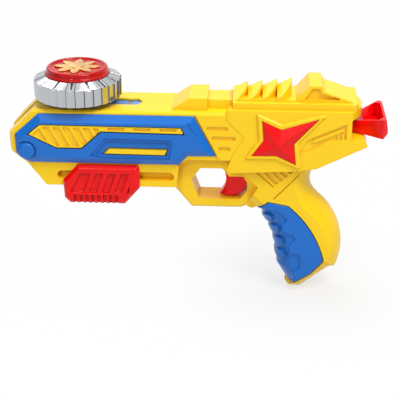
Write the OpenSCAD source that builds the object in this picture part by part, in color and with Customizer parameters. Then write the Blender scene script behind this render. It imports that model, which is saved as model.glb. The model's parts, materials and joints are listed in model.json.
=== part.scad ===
// Spinning top launcher: a toy pistol with a spinning top on its deck.
// X runs along the barrel with the muzzle towards -X, Z is up and the shells part on Y = 0.
// The origin is the middle of the hand grip.

/* [Barrel] */
// Distance from the grip centre forward to the tip of the nose
nose_reach = 178.5; // [176:0.5:184]
// Height of the deck above the grip centre
deck_height = 79.5; // [78:0.5:84]
// Width of the barrel across the deck
body_width = 36; // [35:0.5:42]
// Depth of the barrel, from the deck to the lower edge of the side panels
barrel_depth = 33; // [32.5:0.5:35]
// Wall thickness of the shells
wall = 2.2; // [1.6:0.1:2.6]
// Length and drop of the sloping nose
nose_slope = 18; // [15:0.5:20]
// How far the nose bulges forward between its sides
nose_bow = 4; // [2:0.5:6]
// Chamfer along the deck edges
deck_chamfer = 1.2; // [0.4:0.1:2]
// Thickness of the deck over the carriage
deck_skin = 1.2; // [0.9:0.1:2]

/* [Deck slot] */
// Width of the slot that the spindle runs in
slot_width = 11.4; // [11:0.2:13]
// Length of the slot from the nose tip to its pointed end
slot_length = 81.5; // [78:0.5:84]
// Length of the slot's pointed end
slot_point = 3; // [1:0.5:5]

/* [Keel and foregrip] */
// Depth of the keel below the barrel
keel_depth = 15.5; // [14.5:0.5:17]
// Width of the keel
keel_width = 34; // [33:0.5:35]
// Height of the guide groove in each side of the keel
groove_height = 5.7; // [5:0.1:6.5]
// Depth of the guide groove
groove_depth = 5; // [4:0.2:5.4]
// Width of the foregrip
foregrip_width = 41; // [39.5:0.5:44]
// Height of the foregrip below the keel floor
foregrip_drop = 11; // [9.5:0.5:12]
// Rearward stroke of the foregrip and the carriage
stroke = 18.5; // [14:0.5:19]
// Diagonal bars on each side of the foregrip
foregrip_bars = 4; // [3:1:5]
// Serrations under the foregrip
foregrip_serrations = 8; // [5:1:9]

/* [Side panels] */
// Thickness of a side panel
panel_thick = 3.5; // [2.6:0.1:4.2]
// Width of the bevel round a side panel
panel_bevel = 4.2; // [2.4:0.1:4.6]
// Depth of that bevel
panel_bevel_depth = 2.8; // [1.5:0.1:3]
// Gap between a panel window and the raised pad inside it
panel_gap = 0.7; // [0.3:0.1:0.9]
// Diameter of the round boss at the front of a side panel
panel_boss_d = 10; // [8:0.5:11]

/* [Rear body] */
// Width of the rear body
box_width = 39; // [38:0.5:42]
// Width of the top rail, the sight and the deck wedge
rail_width = 26; // [22:0.5:28]
// Height of the top rail above the deck
rail_rise = 7; // [6.5:0.5:8]
// Height of the sight above the deck
sight_rise = 16; // [14.5:0.5:18]
// Height of the first rail fin's crest above the deck
fin_rise = 14.4; // [13:0.2:16]
// Extra rise of each further fin
fin_step = 0.9; // [0.4:0.1:1.2]
// Distance between the fins
fin_pitch = 8.7; // [7:0.1:9.4]
// How far a fin sweeps forward from its crest to the side of the rail
fin_sweep = 6.5; // [4:0.5:9]
// Depth of the star's facets, from the side face to the apex
star_rise = 4.6; // [2:0.1:6]

/* [Grip and trigger] */
// Width of the trigger guard
guard_width = 18; // [17:0.5:20]
// Width of the hand grip at its thickest
grip_width = 30; // [28:0.5:33]
// Radius of the curved back of the grip
back_r = 41.9; // [41:0.1:43]
// Radius of the hollow for the web of the thumb
web_r = 13.8; // [12:0.2:14.6]
// Radius of the hollow front of the grip
strap_r = 46; // [45:0.2:47]
// Thickness of the blue grip panels
grip_panel_thick = 3; // [2.2:0.1:3.4]
// Finger ridges on the front of the grip
ridges = 4; // [3:1:5]
// Width of the trigger blade
trigger_width = 12; // [9:0.5:13]
// Diameter of the trigger pin
trigger_pin_d = 3; // [2.4:0.1:3.6]

/* [Spinning top] */
// Distance from the nose tip back to the axis of the top
top_back = 42.5; // [40:0.5:43]
// Outer diameter of the metal ring
ring_d = 52.6; // [48:0.2:54]
// Height of the metal ring's wall
ring_height = 10.5; // [9:0.5:11]
// Gap between the deck and the ring
ring_lift = 4.1; // [3.8:0.1:6]
// Facets round the ring
ring_facets = 30; // [20:2:36]
// Rise of the ring's bevel towards the cap
ring_bevel = 2.9; // [2:0.1:3.4]
// Diameter of the red cap
cap_d = 36.6; // [34:0.2:38]
// Height of the red cap
cap_height = 4.4; // [3.6:0.1:5.5]
// Petals of the rosette on the cap
petals = 8; // [5:1:10]
// Diameter of the tip that stands in the drive cup
tip_d = 5.6; // [4.8:0.1:5.8]

/* [Spindle and reel] */
// Diameter of the spindle shaft
shaft_d = 4; // [3:0.1:4.4]
// Outer diameter of the drive cup
cup_d = 9.6; // [9:0.1:10]
// Diameter of the reel's flanges
reel_d = 24; // [20:0.5:25]
// Height of the reel over both flanges
reel_height = 8; // [6:0.5:8.5]
// Diameter of the pull cord
cord_d = 1.6; // [1.2:0.1:2]

/* [Pull handle] */
// Width of the handle across its rear edge
handle_width = 36; // [30:0.5:38]
// Length of the handle
handle_length = 21; // [18:0.5:24]
// Height of the handle at its rear edge
handle_height = 11.6; // [10:0.2:11.8]

/* [Fits] */
// Running clearance of a shaft in its bore, on the radius
run_fit = 0.05; // [0.02:0.01:0.09]
// Clearance of sliding pieces
slide_gap = 0.4; // [0.3:0.05:0.6]

/* [Hidden] */
$fn = 64;
cut = 1;                       // overshoot of a cutting tool past a face

yellow = "gold";
blue = "royalblue";
red = "crimson";
steel = "silver";

// Reference lines of the side view
nose_x = -nose_reach;
deck_z = deck_height;
belly_z = deck_z - barrel_depth;
keel_z = belly_z - keel_depth;
under_z = deck_z - deck_skin;
half_w = body_width / 2;
keel_half = keel_width / 2;
box_half = box_width / 2;
rail_half = rail_width / 2;
guard_half = guard_width / 2;
grip_half = grip_width / 2;
deck_front_x = nose_x + nose_slope;
nose_z = deck_z - nose_slope;
bow_r = (half_w * half_w + nose_bow * nose_bow) / (2 * nose_bow);
axis_x = nose_x + top_back;
slot_end_x = nose_x + slot_length;
mid_z = belly_z + 3;           // lower edge of the middle section behind the side panels
mid_x = -69;                   // where the barrel's belly steps up to the middle section
keel_end_x = -76;              // rear end of the keel
barrel_end_x = -28;            // rear end of the barrel, inside the rear body
tail_x = 27.6;                 // rear wall that the pull handle rests against
cord_z = deck_z - 11;          // height of the pull cord
notch_low = deck_z - 15.1;     // lower edge of the notch that holds the handle
notch_high = deck_z - 2.6;     // upper edge of that notch

// Geometry helpers

function unit(v) = v / norm(v);
function winding(p) = let (n = len(p))
    sign([for (i = [0 : n - 1]) cross(p[i], p[(i + 1) % n])] * [for (i = [0 : n - 1]) 1]);
function inward(a, b, s) = s * unit([a[1] - b[1], b[0] - a[0]]);
// Outline moved inwards by d on every edge, with mitred corners
function inset(p, d) = let (s = winding(p), n = len(p))
    [for (i = [0 : n - 1])
        let (a = inward(p[(i + n - 1) % n], p[i], s), b = inward(p[i], p[(i + 1) % n], s))
        p[i] + d * (a + b) / (1 + a * b)];

// An X-Z outline carried across the body, from y0 to y1 on the left side
module across(y0, y1) {
    translate([0, -y0, 0]) rotate([90, 0, 0]) linear_extrude(y1 - y0) children();
}
// An X-Z outline carried across both sides
module through(half) {
    across(-half, half) children();
}
// A Y-Z section carried along the barrel
module along(x0, x1) {
    translate([x0, 0, 0]) rotate([90, 0, 90]) linear_extrude(x1 - x0) children();
}
// An X-Y plan carried upwards
module upright(z0, z1) {
    translate([0, 0, z0]) linear_extrude(z1 - z0) children();
}
// A round bar across the body, from y0 to y1 on the left side
module cross_bar(x, z, r, y0, y1) {
    translate([x, -y0, z]) rotate([90, 0, 0]) cylinder(r = r, h = y1 - y0);
}
// A slot outline with round ends, between x0 and x1
module stadium(x0, x1, z, h) {
    translate([x0 + h / 2, z - h / 2]) square([x1 - x0 - h, h]);
    for (x = [x0 + h / 2, x1 - h / 2]) translate([x, z]) circle(h / 2);
}
module mirrored(right) {
    if (right) mirror([0, 1, 0]) children();
    else children();
}
// A plate on the left side whose outer face has a sloping rim
module bevelled(p, y0, y1, run, depth) {
    n = len(p);
    q = inset(p, run);
    low = depth - y1;
    across(y0, y1 - depth) polygon(p);
    across(y0, y1) polygon(q);
    rim = concat([for (v = p) [v[0], low, v[1]]], [for (v = q) [v[0], -y1, v[1]]],
        [for (v = q) [v[0], low, v[1]]]);
    turn = winding(p) > 0;
    faces = [for (k = [0 : 2], i = [0 : n - 1]) let (j = (i + 1) % n, a = k * n, b = (k + 1) % 3 * n)
        turn ? [a + i, b + i, b + j, a + j] : [a + j, b + j, b + i, a + i]];
    polyhedron(rim, faces);
}

// Outlines in the X-Z plane

barrel_pts = [[deck_front_x, deck_z], [nose_x, nose_z], [nose_x + 1, nose_z - 6],
    [nose_x + 12, belly_z], [mid_x - 5, belly_z], [mid_x, mid_z],
    [barrel_end_x, mid_z], [barrel_end_x, deck_z]];
keel_pts = [[nose_x + 11, belly_z + 1], [nose_x + 23.5, keel_z], [keel_end_x, keel_z],
    [mid_x - 5.5, belly_z - 5], [mid_x - 5.5, belly_z + 1]];
opening_top_z = deck_z - 38.8; // ceiling of the trigger opening
guard_floor_z = opening_top_z - 20.4;
guard_low_z = guard_floor_z - 5.7;
frame_pts = [[keel_end_x - 6, belly_z], [keel_end_x - 2, keel_z - 3], [-67, guard_low_z],
    [-36.8, guard_low_z], [-33.6, guard_low_z + 1.5], [-29.8, guard_low_z - 2.6],
    [-10, guard_low_z - 2.6], [0, guard_low_z + 15.4], [0, mid_z + 6], [keel_end_x - 6, mid_z + 6]];
opening_pts = [[-67.4, opening_top_z - 7.8], [-61.6, opening_top_z], [-48.4, opening_top_z],
    [-44.2, opening_top_z - 5.2], [-35.6, opening_top_z - 5.2], [-33, opening_top_z - 9.4],
    [-33.2, opening_top_z - 14.6], [-37.5, guard_floor_z], [-62.6, guard_floor_z]];
box_pts = [[-45.7, deck_z + 1], [-45.7, deck_z - 3.8], [-35.1, deck_z - 14.5], [-41.5, deck_z - 25.3],
    [-45.5, deck_z - 35.4], [-43.8, deck_z - 37.5], [-5.3, deck_z - 35.5], [8, deck_z - 33.5],
    [37.4, deck_z - 18.7], [35.4, notch_low], [35.4, deck_z + 2.3], [-44, deck_z + 2.3]];
ledge_pts = [[-42.3, deck_z - 6], [-42.3, deck_z + 6.1], [31, deck_z + 6.1], [33, deck_z - 6]];
rail_pts = [[-43.7, deck_z - 4], [-43.7, deck_z + 2], [-39.5, deck_z + rail_rise],
    [-5.5, deck_z + rail_rise], [2.3, deck_z + sight_rise], [9.5, deck_z + sight_rise],
    [11.2, deck_z + 12.6], [17.3, deck_z + 10.3], [23, deck_z + 8.4], [30, deck_z + 5.5],
    [34, deck_z - 2], [34, deck_z - 4]];
fin_x = -33.9;                 // crest of the first fin
wedge_pts = [[-79, deck_z - 1], [-79, deck_z], [-68.3, deck_z + 7.1], [-57.6, deck_z + 7.1],
    [-57.6, deck_z - 1]];
saddle_pts = [[-60, deck_z - 1], [-60, deck_z + 5.2], [-42, deck_z + 5.2], [-42, deck_z - 1]];
// Face of the middle section behind the side panel, with a dark gap left along the panel's edge
mid_pts = [[-64.2, deck_z - deck_chamfer], [-51, belly_z + 6], [-49.6, mid_z + 0.5],
    [barrel_end_x, mid_z + 0.5], [barrel_end_x, deck_z - deck_chamfer]];
mid_half = half_w + 1.2;

// Hand grip: a round-backed wheel with a neck, hollowed for the thumb and the fingers.
// Its surfaces can be moved inwards by d.

back_c = [-15.7, -10.9];
web_c = [18.9, deck_z - 46.4];
strap_c = [-61.6, -18.6];
grip_round = grip_half + 2;    // radius of the round across the grip's back, front and butt
neck_top = deck_z - 33.5;
neck_front = [[-34.4, guard_low_z + 1.8], [-26.6, guard_low_z + 16.4], [-43, neck_top]];
web_joint = back_c + back_r * unit(web_c - back_c);
neck_pts = concat(neck_front, [[10, neck_top], [10, web_c[1]], web_joint, back_c]);
heel = [19.5, -26.6];
butt_low = [1.6, -40.8];
toe = [-6.6, -40.5];
toe_top = [-15.9, -25];
grip_bounds = concat(neck_front, [[45, neck_top], [45, -60], [-34.4, -60]]);
// A body of revolution about an axis that crosses the grip at c
module about(c) {
    translate([c[0], 0, c[1]]) rotate([90, 0, 0]) rotate_extrude($fn = 128) children();
}
// A wheel with a round rim
module wheel(c, r, half, round_r) {
    about(c) {
        translate([0, -half]) square([r - round_r, 2 * half]);
        intersection() {
            translate([r - round_r, 0]) circle(round_r, $fn = 128);
            translate([r - round_r - cut, -half]) square([2 * round_r, 2 * half]);
        }
    }
}
// Cutter for a hollow whose edges are rounded over
module hollow(c, r, half, round_r) {
    about(c) difference() {
        translate([0, -half - cut]) square([r + round_r, 2 * (half + cut)]);
        translate([r + round_r, 0]) circle(round_r, $fn = 128);
    }
}
// Everything above the line from a to b, with a round underside
module cradle(a, b, d, half) {
    r = grip_round - d;
    slope = atan2(b[1] - a[1], b[0] - a[0]);
    translate([a[0], 0, a[1]]) rotate([0, -slope, 0]) along(-150, 150) {
        translate([-half - cut, d + r]) square([2 * (half + cut), 200]);
        intersection() {
            translate([0, d + r]) circle(r, $fn = 128);
            translate([-half - cut, d - cut]) square([2 * (half + cut), r + 2 * cut]);
        }
    }
}
module grip_solid(half, d) {
    round_r = grip_round - d;
    difference() {
        intersection() {
            union() {
                wheel(back_c, back_r - d, half, round_r);
                through(half) polygon(neck_pts);
            }
            through(half + cut) polygon(inset(grip_bounds, d));
            union() {
                cradle(butt_low, heel, d, half);
                cradle(heel, heel + [4, 0.7], d, half);
            }
            cradle(toe, butt_low, d, half);
            cradle(toe_top, toe, d, half);
        }
        hollow(web_c, web_r + d, half, round_r);
        hollow(strap_c, strap_r + d, half, round_r);
    }
}

// Blue grip panel seen from the side
panel_back_c = [-51.6, -33.9];
panel_back_r = 69;
grip_panel_pts = [[-60, 14], [-28.7, 15.1], [-20.2, 21.8], [-7.8, 19.4], [20, 19.4], [20, -14],
    [15.4, -17.6], [14.8, -19.1], [7.9, -28.1], [-2.9, -34.8], [-7, -37.6], [-60, -37.6]];
module grip_panel_outline(gap) {
    intersection() {
        polygon(inset(grip_panel_pts, gap));
        translate(panel_back_c) circle(panel_back_r - gap, $fn = 128);
    }
}
core_half = grip_half - grip_panel_thick;   // half width of the grip under its panels

// Fins along the top rail: roof-shaped scales with a round rear edge, each higher than the last
fin_ramp = 27;                 // slope of a fin up to its crest
fin_roof = 17;                 // slope of a fin down to the sides
fin_sweep_r = (rail_half * rail_half + fin_sweep * fin_sweep) / (2 * fin_sweep);
module fin(i) {
    crest = [fin_x + i * fin_pitch, deck_z + fin_rise + i * fin_step];
    deep = crest[1] - deck_z;
    side = rail_half + cut;
    intersection() {
        translate([crest[0] - fin_sweep_r, 0, deck_z]) cylinder(r = fin_sweep_r, h = 2 * deep);
        translate([crest[0], 0, crest[1]]) rotate([0, -fin_ramp, 0]) along(-2 * fin_pitch, fin_pitch)
            polygon([[-side, -side * tan(fin_roof)], [0, 0], [side, -side * tan(fin_roof)],
                [side, -deep], [-side, -deep]]);
        through(rail_half) translate([fin_x - fin_pitch + i * fin_pitch, deck_z]) square([fin_pitch + cut, 2 * deep]);
    }
}

// Plan of the nose, bulging forward
module bow_plan(d) {
    translate([nose_x + bow_r, 0]) circle(bow_r - d, $fn = 128);
    translate([nose_x + bow_r, -60]) square([260, 120]);
}

// Section of the barrel with chamfered deck edges
module barrel_section() {
    c = deck_chamfer;
    polygon([[-half_w, 0], [-half_w, deck_z - c], [c - half_w, deck_z], [half_w - c, deck_z],
        [half_w, deck_z - c], [half_w, 0]]);
}

// Rounded rear end of the upper body, in plan
rear_bow = 6.4;
rear_bow_r = (box_half * box_half + rear_bow * rear_bow) / (2 * rear_bow);
module rear_plan() {
    translate([34 - rear_bow_r, 0]) circle(rear_bow_r, $fn = 128);
    translate([-200, -60]) square([234 - rear_bow_r, 120]);
}

// Shells

module barrel_body() {
    intersection() {
        through(half_w) polygon(barrel_pts);
        along(nose_x - cut, 0) barrel_section();
        upright(0, deck_z + cut) bow_plan(0);
    }
}

module rear_body() {
    intersection() {
        union() {
            through(box_half) polygon(box_pts);
            through(box_half - 3) polygon(ledge_pts);
            through(rail_half) polygon(rail_pts);
            for (i = [0 : 3]) fin(i);
        }
        union() {
            upright(notch_high, deck_z + 30) rear_plan();
            upright(0, notch_high) translate([-100, -40]) square([140, 80]);
        }
    }
}

guard_bevel = 1.5;
module housing_outer() {
    barrel_body();
    through(mid_half) polygon(mid_pts);
    through(keel_half) polygon(keel_pts);
    for (s = [0, 1]) mirrored(s == 1) bevelled(frame_pts, 0, guard_half, guard_bevel, guard_bevel);
    grip_solid(grip_half, 0);
    rear_body();
    through(rail_half) polygon(wedge_pts);
    through(9) polygon(saddle_pts);
}

keel_cavity_half = keel_half - groove_depth - wall;
sear_half = 3;
module housing_inner() {
    barrel_room = [[deck_front_x + wall / 2, under_z], [nose_x + 2 * wall, nose_z - wall],
        [nose_x + 2 * wall, nose_z - 6], [nose_x + 14, belly_z + wall], [mid_x - 7, belly_z + wall],
        [mid_x - 1, mid_z + wall], [barrel_end_x - wall, mid_z + wall], [barrel_end_x - wall, under_z]];
    intersection() {
        through(half_w - wall) polygon(barrel_room);
        upright(0, deck_z) bow_plan(wall);
    }
    through(keel_cavity_half) polygon([[nose_x + 15, belly_z + 4], [nose_x + 25, keel_z + wall],
        [keel_end_x - 3, keel_z + wall], [keel_end_x - 3, belly_z + 4]]);
    box_room_z = deck_z - 1;
    through(box_half - wall) polygon([[-42, box_room_z], [-42, deck_z - 6.5],
        [-32, deck_z - 14.5], [-38, deck_z - 25.5], [-41, deck_z - 33.3], [-5, deck_z - 33.1],
        [8, deck_z - 31.1], [22, deck_z - 23.5], [tail_x - wall, deck_z - 19.5], [tail_x - wall, box_room_z]]);
    through(rail_half - wall) polygon([[-38, box_room_z - cut], [-37, deck_z + rail_rise - wall],
        [18, deck_z + rail_rise - wall], [26, deck_z + 4], [26, box_room_z - cut]]);
    through(keel_cavity_half) polygon([[-74, under_z - cut], [-67.5, deck_z + 7.1 - wall],
        [-60, deck_z + 7.1 - wall], [-60, under_z - cut]]);
    intersection() {
        grip_solid(core_half - wall, grip_panel_thick + wall);
        through(grip_half) polygon([[-22, guard_low_z + 3.4], [0, neck_top - 1], [40, neck_top - 1],
            [40, -60], [-22, -60]]);
    }
}

lobe_c = [-43.7, opening_top_z - 9.3];
lobe_r = 10.4;
trigger_pivot = [-46, opening_top_z + 5.3];
trigger_room_top = mid_z + 3;
module trigger_room() {
    through(guard_half + cut) polygon(opening_pts);
    // slot that the blade swings in
    through(trigger_width / 2 + slide_gap) {
        translate([-53, opening_top_z - 2.7]) square([21, trigger_room_top - opening_top_z + 2.7]);
        translate(trigger_pivot) for (a = [-4 : 2 : 6]) rotate(a)
            translate(lobe_c - trigger_pivot) circle(lobe_r + slide_gap);
    }
    through(sear_half + slide_gap) translate([-86, opening_top_z + wall])
        square([46, trigger_room_top + 1 - opening_top_z - wall]);
}

module deck_slot() {
    half = slot_width / 2;
    upright(nose_z - 20, deck_z + cut) polygon([[nose_x - cut, -half],
        [slot_end_x - slot_point, -half], [slot_end_x, 0], [slot_end_x - slot_point, half],
        [nose_x - cut, half]]);
}

groove_z = keel_z + 6.6;
groove_x0 = nose_x + 30.3;
groove_x1 = keel_end_x - 1.3;
tongue_x0 = axis_x + 8;        // the carriage's tongue, which carries the foregrip
tongue_x1 = axis_x + 24;
tongue_half = 4;
module keel_cuts() {
    for (s = [0, 1]) mirrored(s == 1)
        across(keel_half - groove_depth, keel_half + cut)
            stadium(groove_x0, groove_x1, groove_z, groove_height);
    upright(keel_z - cut, keel_z + wall + cut)
        translate([tongue_x0 - slide_gap, -tongue_half - slide_gap])
        square([tongue_x1 - tongue_x0 + stroke + 2 * slide_gap, 2 * (tongue_half + slide_gap)]);
}

eyelet_r = cord_d / 2 + 2;
module tail_cuts() {
    through(60) polygon([[tail_x, notch_low], [tail_x, notch_high], [60, notch_high], [60, notch_low]]);
    translate([tail_x - wall - cut, 0, cord_z]) rotate([0, 90, 0])
        cylinder(r = eyelet_r, h = wall + 2 * cut);
}

// Shallow relief on both sides: vents, recesses and their ribs
relief = 1;
vents = [[-57.2, -44.8, deck_z - 9.4], [-54.6, -40.4, deck_z - 15.5], [-50.4, -43.2, deck_z - 22.1]];
module side_relief() {
    across(mid_half - relief, mid_half + cut) for (v = vents) stadium(v[0], v[1], v[2], 2.3);
    // dark line along the rear edge of the side panel
    across(half_w - relief, mid_half + cut) polygon([[-65, deck_z - 2.2], [-64.2, deck_z - 2.2],
        [-51, belly_z + 6], [-51.8, belly_z + 6]]);
    // recess in the tail, with a long slanting bar and two ribs
    across(box_half - relief, box_half + cut) difference() {
        polygon([[-2.5, deck_z - 23.1], [3.6, deck_z - 22.3], [14.5, deck_z - 15.2], [24.6, deck_z - 14.2],
            [24.6, deck_z - 5], [2.1, deck_z - 15.1]]);
        polygon([[4.4, deck_z - 15.7], [23.2, deck_z - 7.3], [23.2, deck_z - 9.4], [6.2, deck_z - 17]]);
        for (x = [19.4, 22]) translate([x, deck_z - 15]) square([1.2, 4]);
    }
    // ribbed triangle below the rear body, and the line beside it
    across(grip_half - relief, grip_half + cut) {
        difference() {
            polygon([[-28.6, deck_z - 38.2], [-4.9, deck_z - 36.8], [-17.6, deck_z - 47.9]]);
            for (i = [0 : 3]) translate([-27 + 5 * i, deck_z - 36.5]) rotate(-48) square([30, 1.6]);
        }
        polygon([[0.4, deck_z - 36.4], [1.4, deck_z - 36.4], [-16.4, deck_z - 55.8], [-17.4, deck_z - 55.8]]);
    }
    // recess beside the sight
    across(rail_half - 2 * relief, rail_half + cut) polygon([[-0.4, deck_z + 7.6], [4, deck_z + 14.4],
        [8.6, deck_z + 14.2], [9.6, deck_z + 11.5], [19.7, deck_z + 8.6], [20.2, deck_z + 7.6]]);
}

// Raised pads that fill the panel windows
window_top_pts = [[nose_x + 13.7, deck_z - 14.7], [nose_x + 21.7, deck_z - 7.9],
    [-72.1, deck_z - 8.3], [-70.2, deck_z - 13.2], [-120.1, deck_z - 12.5],
    [-132, deck_z - 23.3], [-147.3, deck_z - 23.3]];
window_low_pts = [[-119.9, belly_z + 6.5], [-115.9, belly_z + 10.6], [-80.1, belly_z + 10.4],
    [-82, belly_z + 6.2]];
pad_rise = panel_thick - 0.6;
module window_pads() {
    field = [[nose_x + 17.5, deck_z - 14.4], [nose_x + 23, deck_z - 9.8], [-121.5, deck_z - 10],
        [-121.5, deck_z - 13], [-132.6, deck_z - 21.8], [-146.8, deck_z - 21.8]];
    across(half_w - cut, half_w + pad_rise - relief) {
        polygon(inset(window_top_pts, panel_gap));
        polygon(inset(window_low_pts, panel_gap));
    }
    across(half_w, half_w + pad_rise) {
        difference() {
            polygon(inset(window_top_pts, panel_gap));
            polygon(field);
            for (i = [0 : 2]) translate([-116 + 15.5 * i, deck_z - 11.1]) square([10, 1.6]);
        }
        // diagonal ribs across the recessed field
        intersection() {
            polygon(field);
            for (i = [0 : 6]) polygon([[-158 + 6 * i, deck_z - 8], [-155.8 + 6 * i, deck_z - 8],
                [-147.8 + 6 * i, deck_z - 24], [-150 + 6 * i, deck_z - 24]]);
        }
        polygon(inset(window_low_pts, panel_gap));
    }
}

// Star and the raised frame round it
star_c = [-15.1, deck_z - 18];
star_pts = [for (p = [[-9.7, 14.6], [1.6, 9.3], [23.3, 16.2], [9.2, 0.6], [10.5, -12.5], [-1, -7.1],
    [-15.6, -7.4], [-8.7, 2.4]]) star_c + p];
star_frame_pts = [for (p = [[-13.3, 18.3], [-11.7, 18.7], [1.7, 12.7], [25.6, 19.1], [27.7, 17.7],
    [12.5, 0.8], [14.1, -14.3], [12.5, -15.9], [-1.5, -9.9], [-18.5, -10.1], [-19.3, -8.7],
    [-11.9, 2.7]]) star_c + p];
star_frame_rise = 1.4;
module star_frame() {
    difference() {
        bevelled(star_frame_pts, box_half - cut, box_half + star_frame_rise, 1, 1);
        across(box_half, box_half + 2 * star_frame_rise) polygon(inset(star_pts, -0.2));
    }
}

// Screw posts, in X and Z
posts = [[-166, deck_z - 22.5], [-56, deck_z - 4], [-26, deck_z - 27], [-16, deck_z - 2.5],
    [20, deck_z - 21.5], [-6, deck_z - 53.5], [18, -19]];
post_r = 3.2;
pilot_r = 1.1;
shank_r = 1.5;
head_r = 2.7;
head_h = 2;
head_y = 4;                    // the heads sit this far from the parting plane
pilot_depth = 9;

// Guide ribs under the carriage and the wall that the launch spring pushes on
skirt_low = deck_z - 27.5;     // lower edge of the carriage's skirts
carriage_half = half_w - wall - slide_gap;
spring_z = deck_z - 19.5;
spring_wall_x = -62.5;
spring_d = 9;
module inner_ribs() {
    rib_h = 1.6;
    across(carriage_half - 3, half_w - wall + cut)
        translate([axis_x - 22, skirt_low - slide_gap - rib_h]) square([84, rib_h]);
    across(0, half_w - wall + cut)
        translate([spring_wall_x, mid_z + wall - cut]) square([wall, spring_z + 5 - mid_z]);
    translate([spring_wall_x + cut, 0, spring_z]) rotate([0, -90, 0])
        cylinder(r = spring_d / 2 - 2, h = 4 + cut);
}

module left_half() {
    translate([-300, -100, -100]) cube([600, 100, 300]);
}

pin_half = guard_half - 1;
module shell(right) {
    intersection() {
        difference() {
            union() {
                difference() {
                    housing_outer();
                    housing_inner();
                }
                intersection() {
                    housing_outer();
                    union() {
                        mirrored(right) inner_ribs();
                        mirrored(right) for (p = posts) cross_bar(p[0], p[1], post_r, 0, box_half);
                    }
                }
                mirrored(right) window_pads();
                mirrored(right) star_frame();
            }
            trigger_room();
            deck_slot();
            keel_cuts();
            tail_cuts();
            mirrored(right) side_relief();
            grip_panel_seat();
            cross_bar(trigger_pivot[0], trigger_pivot[1], trigger_pin_d / 2, -pin_half, pin_half);
            if (right) for (p = posts) {
                cross_bar(p[0], p[1], shank_r + run_fit, -head_y - cut, 0);
                cross_bar(p[0], p[1], head_r + 0.2, -40, -head_y);
            }
            else for (p = posts) cross_bar(p[0], p[1], pilot_r, 0, pilot_depth);
        }
        mirrored(right) left_half();
    }
}

// The step in the grip that the panels lie in
module grip_panel_seat() {
    difference() {
        through(60) grip_panel_outline(0);
        grip_solid(core_half, grip_panel_thick);
    }
}

module left_shell() {
    color(yellow) shell(false);
}

module right_shell() {
    color(yellow) shell(true);
}

// Side panels

panel_pts = [[nose_x + 21, deck_z - 2.2], [-65.2, deck_z - 2.2], [-52, belly_z + 6],
    [-68.9, belly_z + 5.8], [-74.1, belly_z], [nose_x + 14.5, belly_z],
    [nose_x + 8.8, belly_z + 3], [nose_x + 6.5, belly_z + 6], [nose_x + 6.2, deck_z - 15.5]];
boss_c = [nose_x + 13.2, belly_z + 8.2];
trough_pts = [[-127, belly_z + 5.8], [-117.9, deck_z - 16], [-78.5, deck_z - 16.6],
    [-77.9, belly_z + 12.5], [-79.5, belly_z + 4.2], [-121, belly_z + 4.2]];
trough_step = 1;
module side_panel(right) {
    outer = half_w + panel_thick;
    color(blue) mirrored(right) difference() {
        union() {
            difference() {
                bevelled(panel_pts, half_w, outer, panel_bevel, panel_bevel_depth);
                across(0, outer + cut) polygon(window_top_pts);
                across(0, outer + cut) polygon(window_low_pts);
                across(outer - trough_step, outer + cut) polygon(trough_pts);
                across(outer - 2 * trough_step, outer + cut) polygon(inset(trough_pts, 2));
                cross_bar(boss_c[0], boss_c[1], panel_boss_d / 2 + 1, outer - 0.8, outer + cut);
            }
            cross_bar(boss_c[0], boss_c[1], panel_boss_d / 2, half_w, outer + 0.6);
            translate([boss_c[0], -outer - 0.6, boss_c[1]]) rotate([90, 0, 0])
                cylinder(r1 = panel_boss_d / 2, r2 = panel_boss_d / 2 - 1, h = 0.8);
        }
        // faceted corner where the upper rear edge turns down
        across(outer - 0.6, outer + cut) polygon([[-69.7, deck_z - 5.8], [-61.3, deck_z - 16.3],
            [-56, deck_z - 19], [-64.6, deck_z - 5.4]]);
    }
}

module left_side_panel() {
    side_panel(false);
}

module right_side_panel() {
    side_panel(true);
}

// Stars: eight facets that rise to one apex
module star(right) {
    n = len(star_pts);
    base_y = -box_half;
    edge_y = base_y - 1.2;
    points = concat([for (p = star_pts) [p[0], base_y, p[1]]], [for (p = star_pts) [p[0], edge_y, p[1]]],
        [[star_c[0], base_y - star_rise, star_c[1]]]);
    back = [for (i = [n - 1 : -1 : 0]) i];
    rim = [for (i = [0 : n - 1]) [i, (i + 1) % n, n + (i + 1) % n, n + i]];
    facets = [for (i = [0 : n - 1]) [n + i, n + (i + 1) % n, 2 * n]];
    color(red) mirrored(right) polyhedron(points, concat([back], rim, facets));
}

module left_star() {
    star(false);
}

module right_star() {
    star(true);
}

// Grip panels with finger ridges in front and a stepped recess on the side
ridge_r = 3.4;
ridge_step = 10.2;
ridge_first = 33.8;
zigzag_pts = [[-40, 15.3], [-14.4, 15.8], [-7.9, 10], [-11.6, 5.2], [-10.8, 1.2], [-4, -0.9],
    [-2.6, -3.4], [-6.7, -8.1], [-6.3, -13.1], [0.3, -14.5], [0.8, -22.9], [-4, -27.3],
    [-3.3, -40], [-40, -40]];
grip_panel_gap = 0.6;
module grip_panel(right) {
    recess = 1.3;
    ridge_rise = 1.9;
    color(blue) mirrored(right) intersection() {
        difference() {
            intersection() {
                union() {
                    difference() {
                        grip_solid(grip_half, 0);
                        through(60) polygon(zigzag_pts);
                    }
                    intersection() {
                        grip_solid(grip_half - recess, ridge_rise);
                        through(60) polygon(zigzag_pts);
                    }
                    // finger ridges
                    intersection() {
                        translate([strap_c[0], 0, strap_c[1]]) for (i = [0 : ridges - 1])
                            rotate([0, i * ridge_step - ridge_first, 0])
                                cross_bar(strap_r + ridge_r, 0, ridge_r, -60, 60);
                        grip_solid(grip_half - recess / 2, 0);
                    }
                }
                through(60) grip_panel_outline(grip_panel_gap);
            }
            grip_solid(core_half, grip_panel_thick);
        }
        left_half();
    }
}

module left_grip_panel() {
    grip_panel(false);
}

module right_grip_panel() {
    grip_panel(true);
}

// Fasteners

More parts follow.
